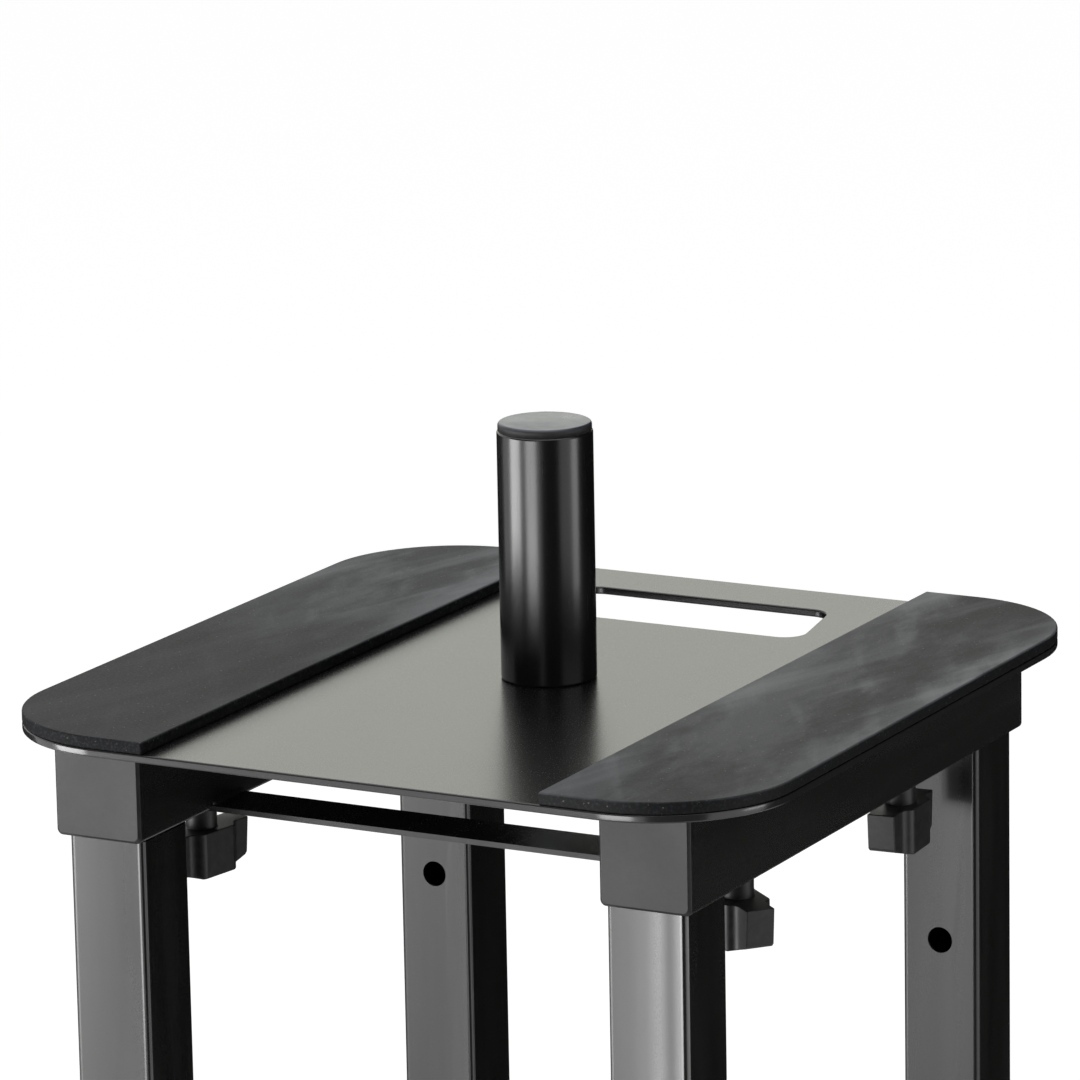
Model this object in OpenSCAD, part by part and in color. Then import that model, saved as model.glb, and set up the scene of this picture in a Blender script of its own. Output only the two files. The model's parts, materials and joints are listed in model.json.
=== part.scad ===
// Totem stand: a square top plate with a short pole, two rubber pads and a hand slot, carried by
// two side frames whose four legs slide in the legs of a lower frame on a wide base plate.
// Millimetres, +Z up, +Y towards the hand slot, origin on the floor under the middle of the stand.

/* [Top plate] */
// Width of the top plate, side to side
plate_w = 300; // [280:5:350]
// Depth of the top plate, front to back
plate_d = 313; // [290:1:350]
// Thickness of the top plate
plate_t = 3; // [2:0.5:5]
// Radius of the plate's four corners
plate_r = 50; // [20:1:60]
// Width of the hand slot on its side towards the pole
slot_w = 118; // [100:2:130]
// Width of the hand slot on its side towards the rear edge
slot_rear_w = 102; // [80:2:110]
// Front to back size of the hand slot
slot_d = 43; // [30:1:45]
// Corner radius of the hand slot
slot_r = 8; // [5:1:12]
// Plate left between the hand slot and the rear edge
slot_margin = 27; // [20:1:28]

/* [Rubber pads] */
// Width of each pad, in from the plate's side edge
pad_w = 71.5; // [40:0.5:80]
// Thickness of a pad
pad_t = 4.5; // [2:0.5:8]

/* [Pole] */
// Outside diameter of the pole
pole_d = 35; // [30:0.5:40]
// Wall of the pole tube
pole_wall = 2; // [1.5:0.5:3]
// Length of the pole tube above the plate
pole_len = 92; // [60:1:150]
// Height of the cap's flange on top of the pole
cap_flange = 3; // [2:0.5:5]
// How much narrower the cap's flange is than the pole, on each side
cap_step = 0.4; // [0.2:0.1:1]
// Depth of the cap's skirt inside the pole
cap_skirt = 14; // [8:1:20]
// Height of the threaded plug in the pole's foot
pole_plug_h = 14; // [10:1:18]
// Diameter of the bolt that holds the pole
pole_bolt_d = 10; // [8:1:12]
// Outside diameter of the washer under the plate
pole_washer_d = 28; // [24:1:34]
// Thickness of that washer
pole_washer_t = 2.5; // [1.5:0.5:4]

/* [Beams] */
// Width of the beam tube
beam_w = 35; // [33:1:45]
// Height of the beam tube
beam_h = 36; // [30:1:45]
// Wall of the beam tube
beam_wall = 1.5; // [1:0.1:2]
// Distance from the plate's front and rear edges to the faces of the beams' end plugs
beam_setback = 18.5; // [15:0.5:26]
// Distance from the plate's side edges to the outer sides of the upper beams
beam_inset = 23.5; // [16:0.5:25]
// Corner radius of the beam tube
beam_r = 2.2; // [1.6:0.1:3]
// Thickness of an end plug's flange
plug_flange = 3; // [2:0.5:4]
// Bevel round an end plug's flange
plug_bevel = 1; // [0.5:0.1:1.5]
// Depth of an end plug inside the beam
plug_depth = 12; // [6:1:14]
// Width of a cross strap
strap_w = 23; // [16:1:30]
// Thickness of a cross strap
strap_t = 2; // [1.5:0.5:4]
// Distance from the middle of the stand to the middle of a cross strap
strap_y = 77; // [60:1:80]

/* [Upper legs] */
// Side of the square upper leg
leg_w = 31; // [26:1:33]
// Wall of the upper leg
leg_wall = 1.5; // [1.2:0.1:2]
// Corner radius of the upper leg
leg_r = 2.5; // [2:0.1:4]
// Length of an upper leg under its beam
upper_leg_len = 560; // [540:5:565]
// Set back of an upper leg from the beam's outer faces
leg_inset = 3.2; // [2:0.1:6]
// Diameter of the height holes
hole_d = 10; // [9.5:0.1:12]
// Distance from the beam down to the first height hole
hole_first = 76; // [74:1:90]
// Distance from one height hole to the next
hole_pitch = 100; // [90:1:100]
// Number of height holes in an upper leg
hole_count = 5; // [5:1:5]
// Height hole that the lock pins face as drawn, counted from the top
rest_hole_count = 3; // [2:1:4]
// Height of the glide's flange under an upper leg
glide_flange = 4; // [2:1:8]
// Depth of the glide inside the upper leg
glide_depth = 16; // [10:1:30]

/* [Lower legs] */
// Free space between an upper leg and the lower leg round it, on each side
slide_gap = 0.5; // [0.3:0.1:0.9]
// Wall of the lower leg
lower_wall = 1.5; // [1.2:0.1:2]
// Length of a lower leg above its beam
lower_leg_len = 580; // [570:5:640]
// Height of the collar's lip on top of a lower leg
collar_lip = 3; // [2:1:5]
// Length of the collar's skirt round the lower leg
collar_skirt = 24; // [15:1:28]
// Wall of the collar's skirt
collar_wall = 2; // [1.5:0.5:3]
// Running clearance of a collar or a glide, on each side
guide_gap = 0.15; // [0.1:0.05:0.25]

/* [Lock pins] */
// Distance of a lock pin under the top of the lower leg
lock_drop = 46; // [44:1:60]
// Outside diameter of the lock housing
housing_d = 18; // [17:1:22]
// Length of the lock housing
housing_len = 20; // [19:0.5:24]
// Wall of the lock housing
housing_wall = 2.7; // [2:0.1:2.8]
// Travel of a lock pin, from drawn back to home
lock_travel = 8.5; // [7:0.5:9]
// Clearance round the nose of a lock pin
nose_gap = 0.3; // [0.2:0.05:0.5]
// Diameter of the lock pin's stem
stem_d = 6; // [5:0.5:6.5]
// Diameter of the lock pin's knob
lock_knob_d = 26; // [22:1:32]
// Length of the lock pin's knob
lock_knob_len = 18; // [14:1:24]
// Wire of the spring in the lock housing
spring_wire = 1; // [0.8:0.1:1.1]

/* [Wing knobs] */
// Distance from the middle of the stand to a wing knob, front to back
knob_y = 67; // [60:1:72]
// Length of a wing knob over its two wings
wing_len = 40; // [36:1:44]
// Width of a wing
wing_w = 10.6; // [8:0.2:12]
// Height of a wing at its end
wing_h = 14.2; // [12:0.2:16]
// Width of the knob's body, between its wings
knob_w = 17.6; // [16:0.2:20]
// Height of the knob's body
knob_h = 17; // [16:0.5:20]
// Diameter of the knob's neck
neck_d = 11.5; // [11:0.5:14]
// Height of the knob's neck
neck_h = 13; // [8:0.5:16]
// Diameter of the knob's screw
stud_d = 6; // [5:1:8]

/* [Base] */
// Width and depth of the base plate
base_w = 400; // [360:10:500]
// Thickness of the base plate
base_t = 4; // [3:0.5:8]
// Height of the rubber feet
foot_h = 12; // [11:1:20]
// Diameter of a rubber foot
foot_d = 38; // [30:1:44]
// Distance of a rubber foot's middle from the edges of the base plate
foot_inset = 38; // [30:1:60]
// Depth of the recess that hides a foot's screw head
foot_recess = 5; // [4:0.5:6]
// Height of that screw head
foot_head_h = 3; // [2:0.5:3.5]

/* [Hidden] */

$fn = 64;
// Extra length of a cut past the face that it opens
cut = 1;

// The four corners: name, side, front or rear, and how far its wing knob is turned
CORNERS = [
    ["front_left", -1, -1, 80],
    ["front_right", 1, -1, -40],
    ["rear_left", -1, 1, 25],
    ["rear_right", 1, 1, 94]
];
SIDES = [["left", -1], ["right", 1]];
ENDS = [["front", -1], ["rear", 1]];

// The beams follow the plate, and the legs follow the beams
beam_len = plate_d - 2 * beam_setback;
beam_x = plate_w / 2 - beam_inset - beam_w / 2;

// The lower leg is drawn round the upper one with its sliding space
lower_leg_w = leg_w + 2 * (slide_gap + lower_wall);
lower_leg_r = leg_r + slide_gap + lower_wall;
leg_x = beam_x + beam_w / 2 - leg_inset - leg_w / 2;
leg_y = beam_len / 2 - leg_inset - leg_w / 2;

// Heights, from the floor up
base_z = foot_h;
lower_beam_z = base_z + base_t;
lower_leg_z = lower_beam_z + beam_h;
lower_leg_top = lower_leg_z + lower_leg_len;
lock_z = lower_leg_top - lock_drop;
upper_beam_z = lock_z + hole_first + (rest_hole_count - 1) * hole_pitch;
plate_z = upper_beam_z + beam_h;
deck_z = plate_z + plate_t;

// Fastener sizes that follow the parts they hold
screw_gap = 0.05;
hole_gap = 0.5;
press_gap = 0.05;
nut_flange_d = stud_d + 5;
nut_flange_h = 6;
nut_shank_d = stud_d + 2.4;
clamp_gap = 0.1;

// Lock parts, measured out from the lower leg's inner face
nose_d = hole_d - 2 * nose_gap;
housing_bore = housing_d - 2 * housing_wall;
shoulder_d = housing_bore - 0.6;
shoulder_t = 2;
shoulder_rest = 0.3 + lock_travel;
housing_end = 2.5;
spring_len = housing_len - housing_end - shoulder_rest - shoulder_t - 0.4;
spring_d = shoulder_d - spring_wire;
spring_turns = 4;
knob_rest = housing_len + lock_travel + 0.3;

// Square or plate outline with round corners
module rounded_rect(w, d, r) {
    square([w, d - 2 * r], center = true);
    square([w - 2 * r, d], center = true);
    for (x = [-1, 1], y = [-1, 1])
        translate([x * (w / 2 - r), y * (d / 2 - r)]) circle(r = r);
}

// Section of a square or rectangular tube
module tube_section(w, d, r, wall) {
    difference() {
        rounded_rect(w, d, r);
        rounded_rect(w - 2 * wall, d - 2 * wall, max(r - wall, 0.3));
    }
}

module at_corner(c, x, y, z) {
    translate([c[1] * x, c[2] * y, z]) children();
}

// Turns a shape drawn for the front of the stand to face the other way at the rear
module facing_in(c) {
    mirror([0, c[2] > 0 ? 1 : 0, 0]) children();
}

// Hand slot: wider towards the pole, with slanting ends and round corners
module slot_outline() {
    lean = atan((slot_w - slot_rear_w) / 2 / slot_d);
    reach = slot_d / 2 - slot_r;
    function corner_x(y) = (slot_w + slot_rear_w) / 4 - y * tan(lean) - slot_r / cos(lean);
    // The four points of one end where its straight lines meet its corner circles
    end_points = [
        [corner_x(reach), slot_d / 2],
        [corner_x(reach) + slot_r * cos(lean), reach + slot_r * sin(lean)],
        [corner_x(-reach) + slot_r * cos(lean), -reach + slot_r * sin(lean)],
        [corner_x(-reach), -slot_d / 2]
    ];
    polygon(concat(end_points, [for (i = [3:-1:0]) [-end_points[i][0], end_points[i][1]]]));
    for (x = [-1, 1], y = [-reach, reach]) translate([x * corner_x(y), y]) circle(r = slot_r);
}

module top_plate() {
    color("dimgray") translate([0, 0, plate_z]) difference() {
        linear_extrude(plate_t) difference() {
            rounded_rect(plate_w, plate_d, plate_r);
            translate([0, plate_d / 2 - slot_margin - slot_d / 2]) slot_outline();
        }
        translate([0, 0, -cut]) cylinder(d = pole_bolt_d + hole_gap, h = plate_t + 2 * cut);
        for (c = CORNERS)
            at_corner(c, beam_x, knob_y, -cut) cylinder(d = nut_shank_d, h = plate_t + 2 * cut);
    }
}

// Clinched nut: the shank fills the plate's hole and the flange hangs in the beam's hole
module plate_nuts() {
    color("silver") for (c = CORNERS) at_corner(c, beam_x, knob_y, 0) difference() {
        union() {
            translate([0, 0, plate_z - nut_flange_h]) cylinder(d = nut_flange_d, h = nut_flange_h);
            translate([0, 0, plate_z]) cylinder(d = nut_shank_d - 2 * press_gap, h = plate_t - 0.1);
        }
        translate([0, 0, plate_z - nut_flange_h - cut])
            cylinder(d = stud_d + 2 * screw_gap, h = nut_flange_h + plate_t + 2 * cut);
    }
}

// A pad follows the plate's own outline, corners included
module pad(side) {
    color([0.2, 0.2, 0.2]) translate([0, 0, deck_z]) linear_extrude(pad_t) intersection() {
        rounded_rect(plate_w, plate_d, plate_r);
        translate([side * (plate_w / 2 - pad_w / 2), 0]) square([pad_w, plate_d + 2 * cut], center = true);
    }
}

module pole_tube() {
    color([0.1, 0.1, 0.1]) translate([0, 0, deck_z]) difference() {
        cylinder(d = pole_d, h = pole_len);
        translate([0, 0, -cut]) cylinder(d = pole_d - 2 * pole_wall, h = pole_len + 2 * cut);
    }
}

// Cap with a rounded flange, a hollow skirt and three crush rings
module pole_cap() {
    flange_r = pole_d / 2 - cap_step;
    skirt_r = pole_d / 2 - pole_wall - 0.3;
    edge = min(1.2, cap_flange / 2);
    color([0.25, 0.25, 0.25]) translate([0, 0, deck_z + pole_len]) rotate_extrude() {
        square([flange_r - edge, cap_flange]);
        square([flange_r, cap_flange - edge]);
        translate([flange_r - edge, cap_flange - edge]) circle(r = edge);
        translate([skirt_r - 1.8, -cap_skirt]) square([1.8, cap_skirt]);
        for (i = [1:3])
            translate([skirt_r - 1, -i * cap_skirt / 4 - 0.5]) square([1.2, 1]);
    }
}

// Steel plug in the pole's foot, threaded for the bolt
module pole_plug() {
    color("silver") translate([0, 0, deck_z]) difference() {
        cylinder(d = pole_d - 2 * pole_wall - 2 * press_gap, h = pole_plug_h);
        translate([0, 0, -cut]) cylinder(d = pole_bolt_d + 2 * screw_gap, h = pole_plug_h + 2 * cut);
    }
}

module hex_bolt(d, len, head_w, head_h) {
    cylinder(d = d, h = len);
    translate([0, 0, -head_h]) cylinder(d = head_w / cos(30), h = head_h, $fn = 6);
}

module pole_bolt() {
    len = pole_washer_t + plate_t + pole_plug_h - 2;
    color("silver") translate([0, 0, plate_z - pole_washer_t])
        hex_bolt(pole_bolt_d, len, pole_bolt_d * 1.7, pole_bolt_d * 0.64);
}

module pole_washer() {
    color("silver") translate([0, 0, plate_z - pole_washer_t]) difference() {
        cylinder(d = pole_washer_d, h = pole_washer_t);
        translate([0, 0, -cut]) cylinder(d = pole_bolt_d + hole_gap, h = pole_washer_t + 2 * cut);
    }
}

// Rectangular tube from front to back, open for its plugs
module beam_tube() {
    rotate([90, 0, 0])
        linear_extrude(beam_len - 2 * plug_flange, center = true)
            tube_section(beam_w, beam_h, beam_r, beam_wall);
}

// The nuts of the plate hang in the large holes, and the screws pass through the small ones
module upper_beam(side) {
    color([0.12, 0.12, 0.12]) translate([side * beam_x, 0, upper_beam_z]) difference() {
        translate([0, 0, beam_h / 2]) beam_tube();
        for (y = [-knob_y, knob_y]) {
            translate([0, y, beam_h / 2]) cylinder(d = nut_flange_d + 1.2, h = beam_h);
            translate([0, y, -cut]) cylinder(d = stud_d + 1, h = beam_h / 2);
        }
    }
}

module lower_beam(side) {
    color([0.12, 0.12, 0.12]) translate([side * leg_x, 0, lower_beam_z]) difference() {
        translate([0, 0, beam_h / 2]) beam_tube();
        for (y = [-knob_y, knob_y])
            translate([0, y, -cut]) cylinder(d = nut_shank_d, h = beam_h / 2);
    }
}

// Flat bar between two beams, flush with their undersides, its ends coped to the beams' round corners
module cross_strap(end, span, z) {
    color([0.12, 0.12, 0.12]) translate([0, end * strap_y, z]) difference() {
        translate([0, 0, strap_t / 2])
            cube([2 * span - beam_w + 2 * beam_r, strap_w, strap_t], center = true);
        for (side = [-1, 1]) translate([side * span, 0, beam_h / 2]) rotate([90, 0, 0])
            linear_extrude(strap_w + 2 * cut, center = true) rounded_rect(beam_w, beam_h, beam_r);
    }
}

// End plug drawn at the front end of a beam: bevelled flange outside, hollow ribbed body inside
module beam_plug() {
    body_w = beam_w - 2 * beam_wall - 0.8;
    body_h = beam_h - 2 * beam_wall - 0.8;
    body_r = max(beam_r - beam_wall, 0.5);
    translate([0, plug_flange, 0]) rotate([90, 0, 0]) {
        hull() {
            linear_extrude(plug_flange - plug_bevel) rounded_rect(beam_w, beam_h, beam_r, $fn = 32);
            linear_extrude(plug_flange)
                rounded_rect(beam_w - 2 * plug_bevel, beam_h - 2 * plug_bevel, beam_r, $fn = 32);
        }
        translate([0, 0, -plug_depth]) linear_extrude(plug_depth) tube_section(body_w, body_h, body_r, 1.8);
        for (side = [-1, 1], k = [-1, 1]) {
            translate([side * (body_w / 2 + 0.1), k * body_h / 4, -plug_depth / 2])
                cube([0.6, 1.2, plug_depth], center = true);
            translate([k * body_w / 4, side * (body_h / 2 + 0.1), -plug_depth / 2])
                cube([1.2, 0.6, plug_depth], center = true);
        }
    }
}

module plug_at(c, x, z) {
    color([0.28, 0.28, 0.28]) facing_in(c) translate([c[1] * x, -beam_len / 2, z + beam_h / 2]) beam_plug();
}

// Height holes are only in the wall that faces the other leg of the same side frame
module upper_leg(c) {
    color([0.15, 0.15, 0.15]) at_corner(c, leg_x, leg_y, upper_beam_z) facing_in(c) difference() {
        translate([0, 0, -upper_leg_len]) linear_extrude(upper_leg_len)
            tube_section(leg_w, leg_w, leg_r, leg_wall);
        for (i = [0:hole_count - 1])
            translate([0, 0, -hole_first - i * hole_pitch]) rotate([-90, 0, 0])
                cylinder(d = hole_d, h = leg_w);
    }
}

// Plastic foot of an upper leg: it fills the end and guides it in the lower leg
module leg_glides() {
    body_w = leg_w - 2 * leg_wall - 0.3;
    flange_w = leg_w + 2 * slide_gap - 2 * guide_gap;
    color([0.22, 0.22, 0.22]) for (c = CORNERS)
        at_corner(c, leg_x, leg_y, upper_beam_z - upper_leg_len) {
            translate([0, 0, -glide_flange]) linear_extrude(glide_flange)
                rounded_rect(flange_w, flange_w, leg_r + slide_gap - guide_gap);
            linear_extrude(glide_depth) tube_section(body_w, body_w, max(leg_r - leg_wall, 0.5), 2);
        }
}

module lower_leg(c) {
    color([0.13, 0.13, 0.13]) at_corner(c, leg_x, leg_y, lower_leg_z) facing_in(c) difference() {
        linear_extrude(lower_leg_len) tube_section(lower_leg_w, lower_leg_w, lower_leg_r, lower_wall);
        translate([0, 0, lower_leg_len - lock_drop]) rotate([-90, 0, 0])
            cylinder(d = hole_d, h = lower_leg_w);
    }
}

// Collar that caps a lower leg and guides the upper leg in its lip
module leg_collars() {
    outer_w = lower_leg_w + 2 * collar_wall;
    outer_r = lower_leg_r + collar_wall;
    color([0.22, 0.22, 0.22]) for (c = CORNERS) at_corner(c, leg_x, leg_y, lower_leg_top) {
        linear_extrude(collar_lip) tube_section(outer_w, outer_w, outer_r, (outer_w - leg_w) / 2 - guide_gap);
        translate([0, 0, -collar_skirt]) linear_extrude(collar_skirt)
            tube_section(outer_w, outer_w, outer_r, collar_wall - press_gap);
    }
}

// Puts a lock part, drawn along +Z from the lower leg's face, at its corner
module lock_place(c) {
    at_corner(c, leg_x, leg_y - lower_leg_w / 2, lock_z) facing_in(c) rotate([-90, 0, 0]) children();
}

// Open towards the leg, with a closed end that the pin's stem passes through
module lock_housings() {
    color([0.13, 0.13, 0.13]) for (c = CORNERS) lock_place(c) difference() {
        union() {
            cylinder(d = housing_d, h = housing_len - 1);
            cylinder(d = housing_d - 2, h = housing_len);
        }
        translate([0, 0, -cut]) cylinder(d = housing_bore, h = housing_len - housing_end + cut);
        cylinder(d = stem_d + 0.4, h = housing_len + cut);
    }
}

// A coil as a swept tube: rings of points round a helix, closed at both ends
module coil(d, wire, len, turns, steps = 16, sides = 6) {
    rings = turns * steps;
    rise = len - wire;
    function centre(i) = [d / 2 * cos(i * 360 / steps), d / 2 * sin(i * 360 / steps),
                          wire / 2 + rise * i / rings];
    function ring_point(i, k) = let (a = i * 360 / steps, b = k * 360 / sides, c = centre(i))
        [c[0] + wire / 2 * cos(b) * cos(a), c[1] + wire / 2 * cos(b) * sin(a), c[2] + wire / 2 * sin(b)];
    points = [for (i = [0:rings], k = [0:sides - 1]) ring_point(i, k)];
    sleeve = [for (i = [0:rings - 1], k = [0:sides - 1], t = [0, 1])
        let (n = (k + 1) % sides, p = i * sides, q = (i + 1) * sides)
        t == 0 ? [p + k, p + n, q + n] : [p + k, q + n, q + k]];
    first = [for (k = [1:sides - 2]) [0, k + 1, k]];
    last = [for (k = [1:sides - 2]) [rings * sides, rings * sides + k, rings * sides + k + 1]];
    polyhedron(points, concat(sleeve, first, last));
}

// The springs push the pins home; they are drawn pressed together, as with the pins drawn back
module lock_springs() {
    color("silver") for (c = CORNERS) lock_place(c)
        translate([0, 0, shoulder_rest + shoulder_t + 0.2])
            coil(spring_d, spring_wire, spring_len, spring_turns);
}

// Nose, shoulder for the spring, and stem, drawn back so that the upper leg can slide
module lock_pin(c) {
    nose_start = -lower_wall;
    color("gainsboro") lock_place(c) {
        translate([0, 0, nose_start]) cylinder(d1 = nose_d - 1.6, d2 = nose_d, h = 0.8);
        translate([0, 0, nose_start + 0.8]) cylinder(d = nose_d, h = shoulder_rest - nose_start - 0.8);
        translate([0, 0, shoulder_rest]) cylinder(d = shoulder_d, h = shoulder_t);
        cylinder(d = stem_d, h = knob_rest + lock_knob_len - 4);
    }
}

// Pull knob: a waisted grip with finger grooves, pressed on the pin's stem
module lock_knob(c) {
    grooves = 8;
    groove_d = 5;
    waist_r = lock_knob_d / 2 - 4;
    color([0.1, 0.1, 0.1]) lock_place(c) translate([0, 0, knob_rest]) difference() {
        rotate_extrude() polygon([
            [0, 0], [waist_r, 0], [waist_r, 3], [lock_knob_d / 2, 7],
            [lock_knob_d / 2, lock_knob_len - 2.5], [lock_knob_d / 2 - 2.5, lock_knob_len],
            [0, lock_knob_len]
        ]);
        translate([0, 0, -cut]) cylinder(d = stem_d + 2 * screw_gap, h = lock_knob_len - 4 + cut + 0.2);
        for (i = [0:grooves - 1]) rotate(i * 360 / grooves)
            translate([lock_knob_d / 2 + groove_d / 4, 0, -cut])
                cylinder(d = groove_d, h = lock_knob_len + 2 * cut, $fn = 24);
    }
}

// Outline of a wing knob from above: a body whose sides swing in, bulge to flute, to two wings
module knob_plan() {
    bulge_r = 3.5;
    flute_r = (knob_w - wing_w) / 2 + 0.4;
    bulge = [knob_w * 0.4, knob_w / 2 - bulge_r];
    rise = wing_w / 2 + flute_r - bulge[1];
    run = sqrt(pow(bulge_r + flute_r, 2) - rise * rise);
    // Where the bulge and the flute touch, with one tangent
    meet_y = bulge[1] + bulge_r * rise / (bulge_r + flute_r);
    difference() {
        square([wing_len, 2 * meet_y], center = true);
        for (x = [-1, 1], y = [-1, 1]) {
            translate([x * (bulge[0] + run), y * (wing_w / 2 + flute_r)]) circle(r = flute_r);
            translate([x * (bulge[0] + run + wing_len / 2), y * (wing_w / 2 + flute_r)])
                square([wing_len, 2 * flute_r], center = true);
        }
    }
    square([2 * bulge[0], knob_w], center = true);
    for (x = [-1, 1], y = [-1, 1]) translate([x * bulge[0], y * bulge[1]]) circle(r = bulge_r);
}

// Wing knob under a beam, drawn down from the beam's underside. Seen from the side, its ends slope in
// and its underside rises towards them.
module wing_knob() {
    end_slope = 1;
    difference() {
        union() {
            translate([0, 0, -neck_h - 0.5]) cylinder(d = neck_d, h = neck_h + 0.5 - clamp_gap);
            translate([0, 0, -neck_h]) intersection() {
                translate([0, 0, -knob_h]) linear_extrude(knob_h) knob_plan();
                rotate([90, 0, 0]) linear_extrude(knob_w + 2 * cut, center = true) polygon([
                    [-wing_len / 2, 0], [wing_len / 2, 0],
                    [wing_len / 2 - end_slope, -wing_h + 1], [wing_len / 2 - end_slope - 1, -wing_h],
                    [knob_w / 2, -knob_h], [-knob_w / 2, -knob_h],
                    [end_slope + 1 - wing_len / 2, -wing_h], [end_slope - wing_len / 2, -wing_h + 1]
                ]);
            }
        }
        translate([0, 0, -neck_h - wing_h / 2]) cylinder(d = stud_d + 2 * screw_gap, h = neck_h + wing_h);
    }
}

module top_knob(c) {
    color([0.2, 0.2, 0.2]) at_corner(c, beam_x, knob_y, upper_beam_z) rotate(c[3]) wing_knob();
}

// Screw moulded into the knob, up through the beam into the plate's nut
module top_screw(c) {
    bottom = -neck_h - wing_h / 2 + 0.1;
    top = beam_h + plate_t - 0.6;
    color("silver") at_corner(c, beam_x, knob_y, upper_beam_z) translate([0, 0, bottom])
        cylinder(d = stud_d, h = top - bottom);
}

module base_plate() {
    color("dimgray") translate([0, 0, base_z]) difference() {
        linear_extrude(base_t) rounded_rect(base_w, base_w, plate_r);
        for (c = CORNERS) {
            at_corner(c, leg_x, knob_y, -cut) cylinder(d = stud_d + hole_gap, h = base_t + 2 * cut);
            at_corner(c, base_w / 2 - foot_inset, base_w / 2 - foot_inset, -cut)
                cylinder(d = stud_d + 2 * screw_gap, h = base_t + 2 * cut);
        }
    }
}

// Bolts up through the base plate into the nuts of the lower beams
module base_bolts() {
    color("silver") for (c = CORNERS) at_corner(c, leg_x, knob_y, base_z)
        hex_bolt(stud_d, base_t + beam_wall + nut_flange_h - 0.5, 10, 4);
}

// Rivet nuts inside the lower beams, their shanks in the beams' lower walls
module base_nuts() {
    color("silver") for (c = CORNERS) at_corner(c, leg_x, knob_y, lower_beam_z) difference() {
        union() {
            cylinder(d = nut_shank_d - 2 * press_gap, h = beam_wall);
            translate([0, 0, beam_wall]) cylinder(d = nut_flange_d, h = nut_flange_h);
        }
        translate([0, 0, -cut]) cylinder(d = stud_d + 2 * screw_gap, h = beam_wall + nut_flange_h + 2 * cut);
    }
}

// Rubber foot: a tapered disc with a recess for its screw
module foot(c) {
    color([0.1, 0.1, 0.1]) at_corner(c, base_w / 2 - foot_inset, base_w / 2 - foot_inset, 0) difference() {
        union() {
            cylinder(d1 = foot_d - 4, d2 = foot_d, h = 4);
            translate([0, 0, 4]) cylinder(d = foot_d, h = foot_h - 4);
        }
        translate([0, 0, -cut]) cylinder(d = 2 * stud_d + 1, h = cut + foot_recess);
        cylinder(d = stud_d + hole_gap, h = foot_h + cut);
    }
}

module foot_screws() {
    color("silver") for (c = CORNERS)
        at_corner(c, base_w / 2 - foot_inset, base_w / 2 - foot_inset, foot_recess) {
            cylinder(d = stud_d, h = foot_h + base_t - foot_recess - 0.5);
            translate([0, 0, -foot_head_h])
                cylinder(d1 = 2 * stud_d - foot_head_h, d2 = 2 * stud_d, h = foot_head_h);
        }
}

top_plate();
plate_nuts();
for (s = SIDES) pad(s[1]);
pole_tube();
pole_cap();
pole_plug();
pole_bolt();
pole_washer();
for (s = SIDES) upper_beam(s[1]);
for (e = ENDS) cross_strap(e[1], beam_x, upper_beam_z);
for (c = CORNERS) plug_at(c, beam_x, upper_beam_z);
for (c = CORNERS) upper_leg(c);
leg_glides();
for (c = CORNERS) top_knob(c);
for (c = CORNERS) top_screw(c);
base_plate();
base_bolts();
base_nuts();
for (c = CORNERS) foot(c);
foot_screws();
for (s = SIDES) lower_beam(s[1]);
for (e = ENDS) cross_strap(e[1], leg_x, lower_beam_z);
for (c = CORNERS) plug_at(c, leg_x, lower_beam_z);  // lower_plugs
for (c = CORNERS) lower_leg(c);
leg_collars();
lock_housings();
lock_springs();
for (c = CORNERS) lock_pin(c);
for (c = CORNERS) lock_knob(c);
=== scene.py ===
# %% [markdown]
# # A totem stand, dressed in Blender
# The stand is a square steel plate on four telescoping legs, with a short pole for a loudspeaker
# or a lamp, two rubber pads, and a slot to lift it by. Its solids come from a CAD model and are
# the fixed frame of this scene. Here each part gets its finish: powder coat, semi-gloss paint,
# rubber, moulded plastic and zinc. Some parts are drawn again with the small rounded edges that
# catch the light, and the weld beads and grip ribs are added.

# %% Load the frame
import json
import math
import bpy
import bmesh
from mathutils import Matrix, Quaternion, Vector


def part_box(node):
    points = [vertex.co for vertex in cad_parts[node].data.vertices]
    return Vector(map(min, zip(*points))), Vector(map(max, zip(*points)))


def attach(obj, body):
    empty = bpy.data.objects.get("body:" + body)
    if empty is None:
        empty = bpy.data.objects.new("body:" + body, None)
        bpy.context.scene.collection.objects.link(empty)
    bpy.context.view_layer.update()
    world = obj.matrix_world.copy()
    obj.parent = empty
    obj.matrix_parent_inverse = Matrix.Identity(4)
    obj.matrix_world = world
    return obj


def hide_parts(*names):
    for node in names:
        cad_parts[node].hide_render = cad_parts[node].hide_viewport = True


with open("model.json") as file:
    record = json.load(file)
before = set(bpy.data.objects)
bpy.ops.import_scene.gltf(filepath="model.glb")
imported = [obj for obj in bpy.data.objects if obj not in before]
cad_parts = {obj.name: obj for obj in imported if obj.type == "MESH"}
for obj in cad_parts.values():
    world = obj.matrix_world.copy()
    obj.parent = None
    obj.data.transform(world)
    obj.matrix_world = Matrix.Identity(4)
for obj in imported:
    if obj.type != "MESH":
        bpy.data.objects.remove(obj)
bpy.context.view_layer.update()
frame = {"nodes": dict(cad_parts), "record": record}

MM = 0.001
CORNERS = ("front_left", "front_right", "rear_left", "rear_right")

nodes = frame["nodes"]
record = frame["record"]
body_of_node = {node: body for body, members in record["behaviour"]["bodies"].items()
                for node in members}
slot_of_node = {part["node"]: part["material_slot"] for part in record["subparts"]}

# %% [markdown]
# ## Camera
# The photograph was taken with a long lens from the front right, a little above the plate. A
# camera fitted to some sixty points of the plate, pole and legs gives the angles, the distance and
# the slight roll below. A long lens is easy to get wrong by eye, because it hides how far away it
# stands, so the focal length is worked out from the same fit, in units of the picture's width.

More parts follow.
